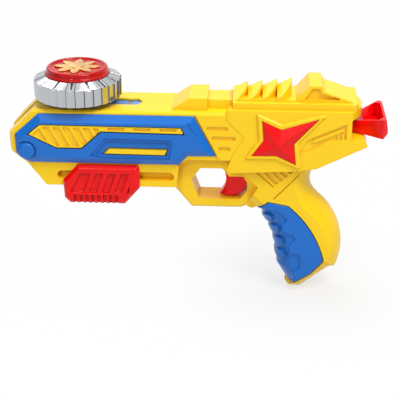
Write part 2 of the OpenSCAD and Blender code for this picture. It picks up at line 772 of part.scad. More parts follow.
// Cross recess of a screw head whose face is at Z = 0 and looks down
module cross_recess() {
    for (a = [45, 135]) rotate(a) translate([-head_r * 0.6, -head_r * 0.13, -cut])
        cube([head_r * 1.2, head_r * 0.26, head_h / 2 + cut]);
}

module shell_screws() {
    color(steel) for (p = posts) {
        difference() {
            cross_bar(p[0], p[1], head_r, -head_y - head_h, -head_y);
            translate([p[0], head_y + head_h, p[1]]) rotate([90, 0, 0]) cross_recess();
        }
        cross_bar(p[0], p[1], shank_r, -head_y, 0);
        cross_bar(p[0], p[1], pilot_r, 0, pilot_depth - 1);
    }
}

module trigger_pin() {
    color(steel) cross_bar(trigger_pivot[0], trigger_pivot[1], trigger_pin_d / 2, -pin_half, pin_half);
}

module cord_eyelet() {
    color("dimgray") translate([tail_x - wall, 0, cord_z]) rotate([0, 90, 0]) difference() {
        cylinder(r = eyelet_r, h = wall);
        translate([0, 0, -cut]) cylinder(r = cord_d / 2 + slide_gap, h = wall + 2 * cut);
    }
}

// Launch carriage: a channel that slides under the deck and carries the spindle
plate_top = under_z - slide_gap;
plate_t = 2.5;
carriage_x0 = axis_x - 21;
carriage_x1 = slot_end_x + 2;
skirt_t = 2.2;
bridge_top = skirt_low + 3;
hub_r = 6.5;
hub_low = plate_top - plate_t - 1;
web_t = 2;
guide_pin_r = 2;
guide_pin_x = carriage_x1 - 10;
module launch_carriage() {
    shaft_bore = shaft_d / 2 + run_fit;
    color("cornflowerblue") difference() {
        union() {
            upright(plate_top - plate_t, plate_top)
                translate([carriage_x0, -carriage_half]) square([carriage_x1 - carriage_x0, 2 * carriage_half]);
            for (s = [0, 1]) mirrored(s == 1) across(carriage_half - skirt_t, carriage_half)
                polygon([[carriage_x0, plate_top], [carriage_x0, skirt_low + 12], [carriage_x0 + 7, skirt_low],
                    [carriage_x1, skirt_low], [carriage_x1, plate_top]]);
            // bridge under the reel, with the tongue for the foregrip
            upright(skirt_low, bridge_top) translate([axis_x - 13, -carriage_half])
                square([tongue_x1 - axis_x + 15, 2 * carriage_half]);
            upright(tongue_low, bridge_top) translate([tongue_x0, -tongue_half])
                square([tongue_x1 - tongue_x0, 2 * tongue_half]);
            // rear web with the spring spigot, and the bar that the sear catches
            through(carriage_half) translate([carriage_x1 - web_t, spring_z - 5.5])
                square([web_t, plate_top - spring_z + 5.5]);
            through(carriage_half) translate([carriage_x1 - 4, skirt_low]) square([4, 3]);
            translate([carriage_x1 - web_t, 0, spring_z]) rotate([0, 90, 0])
                cylinder(r = spring_d / 2 - 2, h = web_t + 4);
            translate([axis_x, 0, hub_low]) cylinder(r = hub_r, h = plate_top - hub_low);
        }
        translate([axis_x, 0, skirt_low - cut]) cylinder(r = shaft_bore, h = plate_top - skirt_low + 2 * cut);
        // way out for the cord, and the seat of its guide pin
        along(carriage_x1 - web_t - cut, carriage_x1 + cut) translate([0, cord_z]) circle(cord_d / 2 + 1.2);
        translate([guide_pin_x, guide_pin_r + cord_d / 2 + slide_gap, plate_top - plate_t - cut])
            cylinder(r = guide_pin_r, h = plate_t + 2 * cut);
        translate([(tongue_x0 + tongue_x1) / 2, 0, tongue_low - cut]) cylinder(r = pilot_r, h = 9 + cut);
    }
}

// Foregrip: a trough that slides along the keel on two inner tabs
foregrip_half = foregrip_width / 2;
foregrip_low = keel_z - foregrip_drop;
foregrip_top = belly_z - 1.2;
tongue_low = keel_z - 5.5;
foregrip_x0 = nose_x + 33.8;
foregrip_x1 = keel_end_x - stroke - 3.5;
foregrip_pts = [[foregrip_x0 + 9.5, foregrip_top], [foregrip_x1 - 1, foregrip_top],
    [foregrip_x1, foregrip_top - 2], [foregrip_x1, keel_z - 0.3], [foregrip_x1 - 9.2, foregrip_low],
    [foregrip_x0 + 4, foregrip_low], [foregrip_x0 + 0.6, foregrip_low + 3.3],
    [foregrip_x0, foregrip_top - 10.4]];
foregrip_field = [[foregrip_x0 + 11, foregrip_top - 5.2], [foregrip_x1 - 5, foregrip_top - 5.2],
    [foregrip_x1 - 6.7, foregrip_low + 7.6], [foregrip_x0 + 4.4, foregrip_low + 7.6]];
tab_x0 = foregrip_x0 + 6;
tab_x1 = foregrip_x1 - 4;
module foregrip() {
    bevel = 2;
    field_deep = 1.7;
    groove_w = 1.8;
    clear = keel_half + slide_gap;
    screw_x = (tongue_x0 + tongue_x1) / 2;
    field_w = foregrip_field[1][0] - foregrip_field[0][0];
    color(red) union() {
        difference() {
            union() for (s = [0, 1]) mirrored(s == 1) bevelled(foregrip_pts, 0, foregrip_half, bevel, bevel);
            across(-clear, clear) translate([foregrip_x0 - cut, keel_z - slide_gap])
                square([foregrip_x1 - foregrip_x0 + 2 * cut, 60]);
            for (s = [0, 1]) mirrored(s == 1) {
                // recessed field with diagonal bars
                across(foregrip_half - field_deep, foregrip_half + cut) difference() {
                    polygon(foregrip_field);
                    for (i = [0 : foregrip_bars - 1])
                        translate([foregrip_field[3][0] + (i + 0.7) * field_w / foregrip_bars, foregrip_low])
                            polygon([[0, 0], [3.4, 0], [11.4, 22], [8, 22]]);
                }
                // serrated lower edge and the grooves above it
                for (i = [0 : foregrip_serrations - 1]) translate([foregrip_x0 + 7.4 + 3.6 * i, 0, 0]) {
                    cross_bar(0, foregrip_low, groove_w / 2, 0, foregrip_half + cut);
                    across(foregrip_half - field_deep, foregrip_half + cut)
                        translate([-groove_w / 2, foregrip_low - cut]) square([groove_w, 6 + cut]);
                }
            }
            upright(tongue_low, keel_z) translate([tongue_x0, -tongue_half])
                square([tongue_x1 - tongue_x0, 2 * tongue_half]);
            translate([screw_x, 0, foregrip_low - cut]) cylinder(r = shank_r + run_fit, h = 20);
            translate([screw_x, 0, foregrip_low - cut]) cylinder(r = head_r + 0.2, h = head_h + 0.6 + cut);
        }
        for (s = [0, 1]) mirrored(s == 1) across(keel_half - groove_depth + slide_gap, clear + 0.6)
            translate([tab_x0, groove_z - groove_height / 2 + slide_gap])
            square([tab_x1 - tab_x0, groove_height - 2 * slide_gap]);
    }
}

module foregrip_screws() {
    seat = foregrip_low + head_h + 0.6;
    color(steel) translate([(tongue_x0 + tongue_x1) / 2, 0, 0]) {
        translate([0, 0, seat - head_h]) difference() {
            cylinder(r = head_r, h = head_h);
            cross_recess();
        }
        translate([0, 0, seat]) cylinder(r = shank_r, h = tongue_low - seat);
        translate([0, 0, tongue_low]) cylinder(r = pilot_r, h = 8);
    }
}

// Wound springs: one tube along a helix with flat ends
function helix(turns, r, length, rings) = [for (i = [0 : turns * rings])
    let (t = i / (turns * rings)) [r * cos(360 * turns * t), r * sin(360 * turns * t), length * t]];
module wound(turns, r, length, wire) {
    rings = 8;
    sides = 6;
    path = helix(turns, r, length, rings);
    n = len(path);
    rise = length / (turns * 2 * PI * r);
    points = [for (i = [0 : n - 1]) let (a = 360 * i / rings, out = [cos(a), sin(a), 0],
        up = unit([sin(a) * rise, -cos(a) * rise, 1]))
        for (k = [0 : sides - 1]) path[i] + wire / 2 * (out * cos(360 * k / sides) + up * sin(360 * k / sides))];
    quads = [for (i = [0 : n - 2], k = [0 : sides - 1])
        let (a = i * sides + k, b = i * sides + (k + 1) % sides) [a, b, b + sides, a + sides]];
    triangles = [for (q = quads) each [[q[0], q[2], q[1]], [q[0], q[3], q[2]]]];
    first = [for (k = [1 : sides - 2]) [0, k, k + 1]];
    last = (n - 1) * sides;
    end = [for (k = [1 : sides - 2]) [last, last + k + 1, last + k]];
    polyhedron(points, concat(first, triangles, end));
    echo("spring gap between turns", length / turns - wire);
}

launch_wire = 0.9;
launch_turns = 7;
launch_x0 = carriage_x1 + launch_wire / 2 + 0.1;
launch_x1 = spring_wall_x - launch_wire / 2 - 0.1;
module launch_spring() {
    color(steel) translate([launch_x0, 0, spring_z]) rotate([0, 90, 0])
        wound(launch_turns, (spring_d - launch_wire) / 2, launch_x1 - launch_x0, launch_wire);
}

// Spindle, reel and clutch
reel_low = bridge_top + 7.4;
reel_top = reel_low + reel_height;
flange_t = 1.2;
core_r = 8;
winding_r = reel_d / 2 - 1.6;
ratchet_r = 5.6;
ratchet_h = 1.6;
spiral_turns = 4;
spiral_t = 0.5;
spiral_h = 4;

module recoil_spring() {
    r0 = shaft_d / 2 + 3;
    r1 = reel_d / 2 - 1;
    steps = 20 * spiral_turns;
    line = function (side) [for (i = [0 : steps]) let (r = r0 + (r1 - r0) * i / steps + side * spiral_t / 2,
        a = 360 * spiral_turns * i / steps) [r * cos(a), r * sin(a)]];
    inner = line(-1);
    outer = line(1);
    color(steel) translate([axis_x, 0, bridge_top]) linear_extrude(spiral_h)
        polygon(concat(inner, [for (i = [steps : -1 : 0]) outer[i]]));
}

module cord_guide_pin() {
    color(steel) translate([guide_pin_x, guide_pin_r + cord_d / 2 + slide_gap, 0])
        translate([0, 0, bridge_top + 4]) cylinder(r = guide_pin_r, h = plate_top - bridge_top - 4);
}

module cord_reel() {
    bore = shaft_d / 2 + run_fit;
    color("white") translate([axis_x, 0, 0]) difference() {
        union() {
            translate([0, 0, reel_low]) cylinder(d = reel_d, h = flange_t);
            translate([0, 0, reel_top - flange_t]) cylinder(d = reel_d, h = flange_t);
            translate([0, 0, reel_low]) cylinder(r = core_r, h = reel_height);
            translate([0, 0, bridge_top + slide_gap]) cylinder(r = shaft_d / 2 + 1.6, h = reel_low - bridge_top);
            // two curved pawls that ride round the ratchet wheel
            translate([0, 0, reel_top - 0.2]) for (a = [0, 180]) rotate(a)
                rotate_extrude(angle = 70) translate([ratchet_r + slide_gap, 0]) square([1.4, ratchet_h + 0.2]);
        }
        translate([0, 0, bridge_top - cut]) cylinder(r = bore, h = reel_top);
    }
}

module cord_winding() {
    color("ivory") translate([axis_x, 0, reel_low + flange_t]) difference() {
        cylinder(r = winding_r, h = reel_height - 2 * flange_t);
        translate([0, 0, -cut]) cylinder(r = core_r, h = reel_height);
    }
}

clip_low = skirt_low - 1;
module spindle_shaft() {
    color(steel) translate([axis_x, 0, clip_low - 0.6]) cylinder(d = shaft_d, h = cup_floor - clip_low + 0.6);
}

cup_low = plate_top + slide_gap;
cup_top = deck_z + 5.1;
cup_floor = cup_low + 2.8;
dog_w = 2.6;                   // width of the two drive dogs under the top
dog_deep = 2.2;
module drive_cup() {
    color("slategray") translate([axis_x, 0, 0]) difference() {
        translate([0, 0, cup_low]) cylinder(d = cup_d, h = cup_top - cup_low);
        translate([0, 0, cup_low - cut]) cylinder(d = shaft_d, h = cup_floor - cup_low + cut);
        translate([0, 0, cup_floor]) cylinder(d = tip_d + 2 * run_fit, h = cup_top);
        translate([-cup_d, -dog_w / 2 - slide_gap, cup_top - dog_deep - slide_gap])
            cube([2 * cup_d, dog_w + 2 * slide_gap, 10]);
    }
}

module ratchet_wheel() {
    teeth = 12;
    color(steel) translate([axis_x, 0, reel_top + slide_gap]) difference() {
        linear_extrude(ratchet_h - slide_gap) polygon([for (i = [0 : teeth - 1])
            let (a = 360 * i / teeth, b = 360 * (i + 0.85) / teeth)
            each [[4.4 * cos(a), 4.4 * sin(a)], [ratchet_r * cos(b), ratchet_r * sin(b)]]]);
        translate([0, 0, -cut]) cylinder(d = shaft_d, h = ratchet_h + 2 * cut);
    }
}

module shaft_clip() {
    color(steel) translate([axis_x, 0, clip_low]) difference() {
        cylinder(d = 2 * shaft_d, h = 0.8);
        translate([0, 0, -cut]) cylinder(d = shaft_d, h = 3);
    }
}

// Pull handle: a delta that widens and thickens towards the rear
handle_x0 = tail_x + 0.3;
handle_x1 = handle_x0 + handle_length;
handle_low = notch_low + 0.9;
handle_half = handle_width / 2;
neck_half = 5;
module handle_side() {
    corner = 2.4;
    polygon([[handle_x0, handle_low], [handle_x1 - corner, handle_low], [handle_x1, handle_low + corner],
        [handle_x1, handle_low + 5], [handle_x1 - 1.2, handle_low + handle_height],
        [handle_x1 - 4, handle_low + handle_height], [handle_x0, handle_low + 6.6]]);
}
module handle_plan(d) {
    corner = 3;
    x1 = handle_x1 - d;
    w = handle_half - d;
    polygon([[handle_x0 + d, -neck_half + d / 2], [x1 - corner, -w], [x1, -w + corner], [x1, w - corner],
        [x1 - corner, w], [handle_x0 + d, neck_half - d / 2]]);
}
module pull_handle() {
    color(red) difference() {
        intersection() {
            through(handle_half) handle_side();
            upright(0, deck_z + 20) handle_plan(0);
        }
        // open pocket in the top
        upright(handle_low + 3, deck_z + 20) difference() {
            handle_plan(2.6);
            translate([handle_x0 - cut, -handle_half]) square([7 + cut, 2 * handle_half]);
        }
        translate([handle_x0 - cut, 0, cord_z]) rotate([0, 90, 0]) cylinder(d = cord_d, h = 5 + cut);
    }
}

cord_x0 = guide_pin_x;
module pull_cord() {
    color("ivory") translate([cord_x0, 0, cord_z]) rotate([0, 90, 0])
        cylinder(d = cord_d, h = handle_x0 + 5 - cord_x0);
}

// Trigger with its sear arm

finger_c = [-60, lobe_c[1]];
finger_r = 13.8;
finger_edge = 3.4;             // width of the chamfer along the front of the blade
toe_z = guard_floor_z + 1.3;
sear_top = skirt_low - slide_gap;
sear_x0 = carriage_x1 - 4 + stroke - 5;
module trigger() {
    blade = trigger_width / 2;
    edge_deep = 2.4;
    hub = 4.2;
    arm_low = sear_top - 4.4;
    color(red) difference() {
        union() {
            through(blade) difference() {
                union() {
                    intersection() {
                        translate(lobe_c) circle(lobe_r);
                        translate([lobe_c[0] - 8, toe_z]) square([30, 30]);
                    }
                    polygon([[-51, toe_z], [-40, toe_z], [-36.5, opening_top_z - 2.4], [-36.5, opening_top_z + 0.6],
                        [-48, opening_top_z + 0.6]]);
                }
                translate(finger_c) circle(finger_r);
            }
            through(sear_half) {
                translate(trigger_pivot) circle(hub);
                polygon([[trigger_pivot[0] - 3.5, opening_top_z - 1], [trigger_pivot[0] + 7, opening_top_z - 1],
                    [trigger_pivot[0] + 3.5, trigger_pivot[1] + 2], [trigger_pivot[0] - 3.5, trigger_pivot[1] + 2]]);
                polygon([[trigger_pivot[0], arm_low], [sear_x0, arm_low], [sear_x0, sear_top - 1],
                    [sear_x0 + 1, sear_top], [sear_x0 + 4, sear_top], [sear_x0 + 4, arm_low + 3.2],
                    [trigger_pivot[0], arm_low + 3.2]]);
            }
        }
        // chamfers along the finger hollow
        for (s = [0, 1]) mirrored(s == 1) translate([finger_c[0], edge_deep - blade, finger_c[1]])
            rotate([90, 0, 0]) cylinder(r1 = finger_r, r2 = finger_r + 2 * finger_edge, h = 2 * edge_deep);
        cross_bar(trigger_pivot[0], trigger_pivot[1], trigger_pin_d / 2 + run_fit, -guard_half, guard_half);
    }
}

trigger_wire = 0.6;
trigger_turns = 3;
module trigger_spring() {
    low = opening_top_z + wall + trigger_wire / 2 + 0.1;
    high = sear_top - 4.4 - trigger_wire / 2 - 0.1;
    color(steel) translate([-57, 0, low]) wound(trigger_turns, 2, high - low, trigger_wire);
}

// Spinning top

ring_low = deck_z + ring_lift;
ring_high = ring_low + ring_height;
cap_low = ring_high + ring_bevel;
cap_top = cap_low + cap_height;
base_r = cap_d / 2 - 1.3;
base_low = cup_top + 0.3;
ring_r = ring_d / 2;
seat_r = base_r + 2;
seat_t = 1.5;

module top_base() {
    color("dimgray") translate([axis_x, 0, 0]) difference() {
        union() {
            translate([0, 0, base_low]) cylinder(r = base_r, h = cap_low - base_low);
            translate([0, 0, base_low]) cylinder(r = seat_r, h = seat_t);
            for (a = [0, 180]) rotate(a) translate([tip_d / 2 + 0.6, -dog_w / 2, base_low - dog_deep])
                cube([(cup_d - tip_d) / 2 - 0.6, dog_w, dog_deep + 1]);
        }
        translate([0, 0, base_low - 5]) cylinder(d = tip_d, h = 9);
        for (a = [90, 270]) rotate(a) translate([base_r - 5, 0, base_low - cut]) {
            cylinder(r = head_r + 0.2, h = 2 + cut);
            cylinder(r = pilot_r, h = 9);
        }
    }
}

// Metal ring: flat facets with small steps, cut round by the bevels above and below
ring_step = 0.8;               // height of the step between two facets
ring_under = 0.8;                // height of the lower bevel
module top_ring() {
    turn = 360 / ring_facets;
    outline = [for (i = [0 : ring_facets - 1]) each [
        ring_r * [cos(i * turn), sin(i * turn)],
        (ring_r - ring_step) * [cos((i + 0.9) * turn), sin((i + 0.9) * turn)]]];
    crown_r = cap_d / 2 + 1.3;
    bore_r = base_r + run_fit;
    step_r = seat_r + run_fit;
    slope = atan(ring_bevel / (ring_r - crown_r));
    color(steel) translate([axis_x, 0, 0]) difference() {
        intersection() {
            upright(ring_low - cut, cap_low + cut) polygon(outline);
            rotate_extrude($fn = 128) polygon([[step_r, ring_low], [ring_r - ring_under / 2, ring_low],
                [ring_r, ring_low + ring_under], [ring_r, ring_high], [crown_r, cap_low], [bore_r, cap_low],
                [bore_r, base_low + seat_t], [step_r, base_low + seat_t]]);
        }
        // notches between the segments of the upper bevel
        for (i = [0 : ring_facets / 2 - 1]) rotate((2 * i + 0.5) * turn) translate([ring_r, 0, ring_high])
            rotate([0, slope, 0]) translate([crown_r - ring_r - cut, -0.7, -ring_step])
            cube([ring_r - crown_r + 3 * cut, 1.4, 3]);
    }
}

module top_cap() {
    flange_r = cap_d / 2 + 1.1;
    r = cap_d / 2;
    rim = 1.8;
    round_r = 0.8;
    color(red) translate([axis_x, 0, cap_low]) rotate_extrude($fn = 128) difference() {
        union() {
            polygon([[0, 0], [flange_r, 0], [flange_r, 1], [r + 0.1, 1.7], [r, cap_height - round_r],
                [r - round_r, cap_height], [0, cap_height]]);
        }
        polygon([[0, cap_height - 0.9], [r - rim - 0.9, cap_height - 0.9], [r - rim, cap_height + cut],
            [0, cap_height + cut]]);
    }
}

// Gold rosette: petals round a disc, each the overlap of two circles
module top_rosette() {
    field_r = cap_d / 2 - 3.4;
    petal_r = field_r * 0.62;
    spread = petal_r * 0.72;
    color("goldenrod") translate([axis_x, 0, cap_low + cap_height - 0.9]) {
        linear_extrude(0.8) difference() {
            union() for (i = [0 : petals - 1]) rotate(360 * i / petals)
                intersection_for (s = [-1, 1])
                    translate([field_r / 2, s * spread]) circle(petal_r);
            circle(field_r * 0.3);
        }
        cylinder(r = field_r * 0.3, h = 1.2);
    }
}

module top_tip() {
    color("dimgray") translate([axis_x, 0, 0]) {
        translate([0, 0, cup_floor + 2]) cylinder(d = tip_d, h = base_low + 4 - cup_floor - 2);
        translate([0, 0, cup_floor + 0.4]) cylinder(r1 = tip_d / 2 - 1.4, r2 = tip_d / 2, h = 1.6);
    }
}

module top_screws() {
    color(steel) translate([axis_x, 0, base_low]) for (a = [90, 270]) rotate(a) translate([base_r - 5, 0, 0]) {
        translate([0, 0, 0.2]) difference() {
            cylinder(r = head_r, h = 1.8);
            cross_recess();
        }
        translate([0, 0, 2]) cylinder(r = pilot_r, h = 6);
    }
}

left_shell();
right_shell();
left_side_panel();
right_side_panel();
left_star();
right_star();
left_grip_panel();
right_grip_panel();
shell_screws();
trigger_pin();
cord_eyelet();
launch_carriage();
foregrip();
foregrip_screws();
launch_spring();
recoil_spring();
cord_guide_pin();
cord_reel();
cord_winding();
spindle_shaft();
drive_cup();
ratchet_wheel();
shaft_clip();
pull_handle();
pull_cord();
trigger();
trigger_spring();
top_base();
top_ring();
top_cap();
top_rosette();
top_tip();
top_screws();
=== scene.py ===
# %% [markdown]
# # A spinning top launcher, dressed for the camera
#
# The object is a toy pistol of moulded plastic. A top with a metal ring stands on its deck, a red
# handle on a cord spins it, and the trigger lets the carriage go. The solids come from the CAD
# model and keep their places. This script gives each of them its moulded edges and its finish.

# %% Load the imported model
import json
from functools import partial

import bmesh
import bpy
import numpy as np
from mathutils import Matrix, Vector


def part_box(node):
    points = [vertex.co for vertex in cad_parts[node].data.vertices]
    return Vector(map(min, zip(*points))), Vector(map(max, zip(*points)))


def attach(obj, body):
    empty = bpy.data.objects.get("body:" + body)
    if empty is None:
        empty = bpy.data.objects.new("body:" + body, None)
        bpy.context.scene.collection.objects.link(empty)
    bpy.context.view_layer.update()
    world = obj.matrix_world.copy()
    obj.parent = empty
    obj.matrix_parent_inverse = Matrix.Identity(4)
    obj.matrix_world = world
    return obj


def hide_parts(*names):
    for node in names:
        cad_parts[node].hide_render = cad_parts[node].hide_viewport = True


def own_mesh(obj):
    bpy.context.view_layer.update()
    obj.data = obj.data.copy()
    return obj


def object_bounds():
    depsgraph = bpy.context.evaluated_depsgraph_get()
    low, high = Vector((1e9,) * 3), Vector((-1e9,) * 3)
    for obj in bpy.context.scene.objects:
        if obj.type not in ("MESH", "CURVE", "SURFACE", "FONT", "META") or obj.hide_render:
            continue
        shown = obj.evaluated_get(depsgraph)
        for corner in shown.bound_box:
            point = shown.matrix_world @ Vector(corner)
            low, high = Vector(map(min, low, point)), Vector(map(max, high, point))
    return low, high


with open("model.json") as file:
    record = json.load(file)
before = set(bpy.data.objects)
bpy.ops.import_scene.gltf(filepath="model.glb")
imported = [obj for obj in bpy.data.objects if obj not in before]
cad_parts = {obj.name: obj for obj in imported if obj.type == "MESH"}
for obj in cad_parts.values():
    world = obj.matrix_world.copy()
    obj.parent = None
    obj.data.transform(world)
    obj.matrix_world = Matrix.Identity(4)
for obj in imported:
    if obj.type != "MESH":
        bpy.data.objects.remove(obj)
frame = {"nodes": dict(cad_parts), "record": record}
cad_box = [list(corner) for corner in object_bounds()]
nodes = frame["nodes"]
bodies = frame["record"]["behaviour"]["bodies"]
body_of_node = {node: body for body, members in bodies.items() for node in members}
slot_of_node = {s["node"]: s["material_slot"] for s in frame["record"]["subparts"]}
scene = bpy.context.scene
MM = 0.001
print("loaded", len(nodes), "solids, box", cad_box)

# %% [markdown]
# ## The camera
#
# The picture was taken with a long lens from a little above the deck. Its place was worked out from
# edges whose directions are known: the deck is level, the sides are parallel, and the ring is round.
# A camera needs only a target, two angles, a distance and a focal length.

# %% Camera
def look_from(azimuth, elevation):
    """Unit vector from the target outwards: azimuth turns about Z from -Y, elevation lifts it."""
    a, e = np.radians(azimuth), np.radians(elevation)
    return np.array([np.sin(a) * np.cos(e), -np.cos(a) * np.cos(e), np.sin(e)])


PICTURE_PX = 400
FOCAL_PX = 1118.4
SENSOR_MM = 36.0
CAMERA_ANGLES = (3.32, 24.47)          # azimuth and elevation in degrees
CAMERA_DISTANCE = 699 * MM
camera_target = np.array([-62.5, 0.0, 15.2]) * MM
camera_data = bpy.data.cameras.new("camera")
camera_data.sensor_fit = "HORIZONTAL"
camera_data.sensor_width = SENSOR_MM
camera_data.lens = SENSOR_MM * FOCAL_PX / PICTURE_PX
camera_data.clip_start = 0.01
camera = bpy.data.objects.new("camera", camera_data)
scene.collection.objects.link(camera)
back = look_from(*CAMERA_ANGLES)
camera.location = camera_target + back * CAMERA_DISTANCE
camera.rotation_euler = Vector(back).to_track_quat("Z", "Y").to_euler()
scene.camera = camera
print("lens", round(camera_data.lens, 2), "mm")

# %% [markdown]
# ## The studio
#
# The toy stands on a white sweep under wide soft lamps. The floor and the world are white to the
# camera and to mirrors, and they light the object at a plain level, so that a colour looks as it is
# written. The floor mixes light of its own into white paint, less of it near the butt of the grip: there
# the real soft shadow shows through, and a grey halo of painted shadow lies around the butt as well.

# %% White world
LIGHT_LEVEL, SEEN_LEVEL = 0.2, 1.0     # the world as a lamp, and as the camera and mirrors see it
WHITE = (1.0, 1.0, 1.0, 1.0)


def add_math(tree, operation, a, b):
    """One math node; a and b are sockets or numbers."""
    node = tree.nodes.new("ShaderNodeMath")
    node.operation = operation
    for socket, value in zip(node.inputs, (a, b)):
        if isinstance(value, (int, float)):
            socket.default_value = value
        else:
            tree.links.new(value, socket)
    return node.outputs[0]


scene.view_settings.view_transform = "Standard"
world = bpy.data.worlds.new("studio")
scene.world = world
world.use_nodes = True
tree = world.node_tree
tree.nodes.clear()
ray = tree.nodes.new("ShaderNodeLightPath").outputs
seen = add_math(tree, "MAXIMUM", ray["Is Camera Ray"], ray["Is Transmission Ray"])
strength = tree.nodes.new("ShaderNodeMapRange")
strength.inputs["To Min"].default_value = LIGHT_LEVEL
strength.inputs["To Max"].default_value = SEEN_LEVEL
tree.links.new(add_math(tree, "MAXIMUM", seen, ray["Is Glossy Ray"]), strength.inputs["Value"])
sky = tree.nodes.new("ShaderNodeBackground")
sky.inputs["Color"].default_value = WHITE
tree.links.new(strength.outputs["Result"], sky.inputs["Strength"])
out = tree.nodes.new("ShaderNodeOutputWorld")
tree.links.new(sky.outputs[0], out.inputs[0])
print("world ready")

# %% Floor
FLOOR_HALF, FLOOR_GAP = 6.0, 0.2 * MM  # half the floor's side, and how far it lies below the butt
FLOOR_PAINT = (0.7, 0.7, 0.7, 1.0)
BUTT_X, SHADOW_REACH = 5 * MM, 110 * MM
OWN_LIGHT_NEAR, OWN_LIGHT_FAR = 0.72, 0.98


def floor_mesh(half, z):
    """A square of side 2 half at height z, as one face."""
    mesh = bpy.data.meshes.new("floor")
    corners = np.array([[-1, -1], [1, -1], [1, 1], [-1, 1]]) * half
    mesh.from_pydata(np.column_stack([corners, np.full(4, z)]).tolist(), [], [(0, 1, 2, 3)])
    return mesh


lowest = cad_box[0][2]
floor = bpy.data.objects.new("floor", floor_mesh(FLOOR_HALF, lowest - FLOOR_GAP))
scene.collection.objects.link(floor)
white = bpy.data.materials.new("white_sweep")
white.use_nodes = True
tree = white.node_tree
tree.nodes.clear()
paint = tree.nodes.new("ShaderNodeBsdfDiffuse")
paint.inputs["Color"].default_value = FLOOR_PAINT
own_light = tree.nodes.new("ShaderNodeEmission")
own_light.inputs["Color"].default_value = WHITE
away = tree.nodes.new("ShaderNodeVectorMath")
away.operation = "DISTANCE"
away.inputs[1].default_value = (BUTT_X, 0.0, lowest)
tree.links.new(tree.nodes.new("ShaderNodeNewGeometry").outputs["Position"], away.inputs[0])
# Painted shadow: towards the butt the floor's own light drops from OWN_LIGHT_FAR to OWN_LIGHT_NEAR, a grey
# halo painted around it.
shadow_halo = tree.nodes.new("ShaderNodeMapRange")
shadow_halo.interpolation_type = "SMOOTHSTEP"
shadow_halo.inputs["From Max"].default_value = SHADOW_REACH
shadow_halo.inputs["To Min"].default_value = OWN_LIGHT_NEAR
shadow_halo.inputs["To Max"].default_value = OWN_LIGHT_FAR
tree.links.new(away.outputs["Value"], shadow_halo.inputs["Value"])
ray = tree.nodes.new("ShaderNodeLightPath").outputs
seen = add_math(tree, "MAXIMUM", ray["Is Camera Ray"], ray["Is Glossy Ray"])
mix = tree.nodes.new("ShaderNodeMixShader")
tree.links.new(add_math(tree, "MULTIPLY", seen, shadow_halo.outputs[0]), mix.inputs[0])
tree.links.new(paint.outputs[0], mix.inputs[1])
tree.links.new(own_light.outputs[0], mix.inputs[2])
out = tree.nodes.new("ShaderNodeOutputMaterial")
tree.links.new(mix.outputs[0], out.inputs[0])
floor.data.materials.append(white)
print("floor at", round(lowest, 4))

# %% Lamps
LAMPS = [                              # name, azimuth, elevation, distance, size, power
    ("key_lamp", -17, 34, 1.3, 0.25, 3.9),
    ("side_lamp", 42, 56, 1.3, 0.5, 11),
    ("top_lamp", 150, 78, 1.2, 0.6, 5.0),
    ("back_lamp", 214, 44, 1.4, 0.8, 4),
]


def lamp(name, azimuth, elevation, distance, size, power):
    """A square area lamp that faces the camera's target from the given direction."""
    data = bpy.data.lights.new(name, "AREA")
    data.shape = "SQUARE"
    data.size = size
    data.energy = power
    obj = bpy.data.objects.new(name, data)
    direction = look_from(azimuth, elevation)
    obj.location = camera_target + direction * distance
    obj.rotation_euler = Vector(direction).to_track_quat("Z", "Y").to_euler()
    scene.collection.objects.link(obj)


for row in LAMPS:
    lamp(*row)
print("lamps ready")

# %% [markdown]
# A plated ring in an all-white room has nothing to show but white. A photographer stands dark cards
# beside the set, out of the picture, and each facet that looks that way turns grey or black. The
# cards here are seen in reflections only, so they take no light from the plastics.

# %% Dark cards
CARD_DISTANCE, CARD_WIDTH, CARD_HEIGHT = 1.0, 0.5, 0.9
black = bpy.data.materials.new("black_card")
black.use_nodes = True
shader = black.node_tree.nodes["Principled BSDF"]
shader.inputs["Base Color"].default_value = (0.01, 0.01, 0.01, 1.0)
shader.inputs["Specular IOR Level"].default_value = 0.0


def card(name, azimuth, elevation):
    """An upright dark card that faces the camera's target from the given direction."""
    toward = look_from(azimuth, elevation)
    across = np.array([toward[1], -toward[0], 0.0]) / np.hypot(toward[0], toward[1])
    up = np.cross(across, toward)
    centre = camera_target + toward * CARD_DISTANCE
    points = [centre + u * across * CARD_WIDTH / 2 + v * up * CARD_HEIGHT / 2
              for u, v in ((-1, -1), (1, -1), (1, 1), (-1, 1))]
    mesh = bpy.data.meshes.new(name)
    mesh.from_pydata([p.tolist() for p in points], [], [(0, 1, 2, 3)])
    mesh.materials.append(black)
    obj = bpy.data.objects.new(name, mesh)
    scene.collection.objects.link(obj)
    obj.visible_camera = obj.visible_diffuse = obj.visible_shadow = False
    return obj


cards = [card("card_left", -74, 12), card("card_right", 66, 14)]
print("cards", [c.name for c in cards])

# %% [markdown]
# ## Shared surface effects
#
# Every moulded piece shows the same small things: a very fine spark grain from the mould, broad soft
# waves where thick plastic sank as it cooled, and a faint drift of colour along the flow. Recesses
# within a piece are painted a little darker, a painted shade for the little light that finds its way
# into them, and this painted shade can also turn warmer in hue. These are one node group with a few
# dials, so that each plastic sets its own values.

# %% Moulded skin group
FLOW_STRETCH = (0.35, 1.0, 1.0)        # the colour drifts in streaks along X
DRIFT_SCALE, GRAIN_SCALE, SINK_SCALE = 38.0, 2600.0, 26.0
SINK_DEPTH = 1.5
PAINTED_SHADE_REACH = 3.0 * MM


def new_group(name, inputs, outputs):
    """An empty shader node group with named float or colour sockets."""
    group = bpy.data.node_groups.new(name, "ShaderNodeTree")
    for label, kind, value in inputs:
        socket = group.interface.new_socket(label, in_out="INPUT", socket_type=kind)
        socket.default_value = value
    for label, kind in outputs:
        group.interface.new_socket(label, in_out="OUTPUT", socket_type=kind)
    return group, group.nodes.new("NodeGroupInput"), group.nodes.new("NodeGroupOutput")


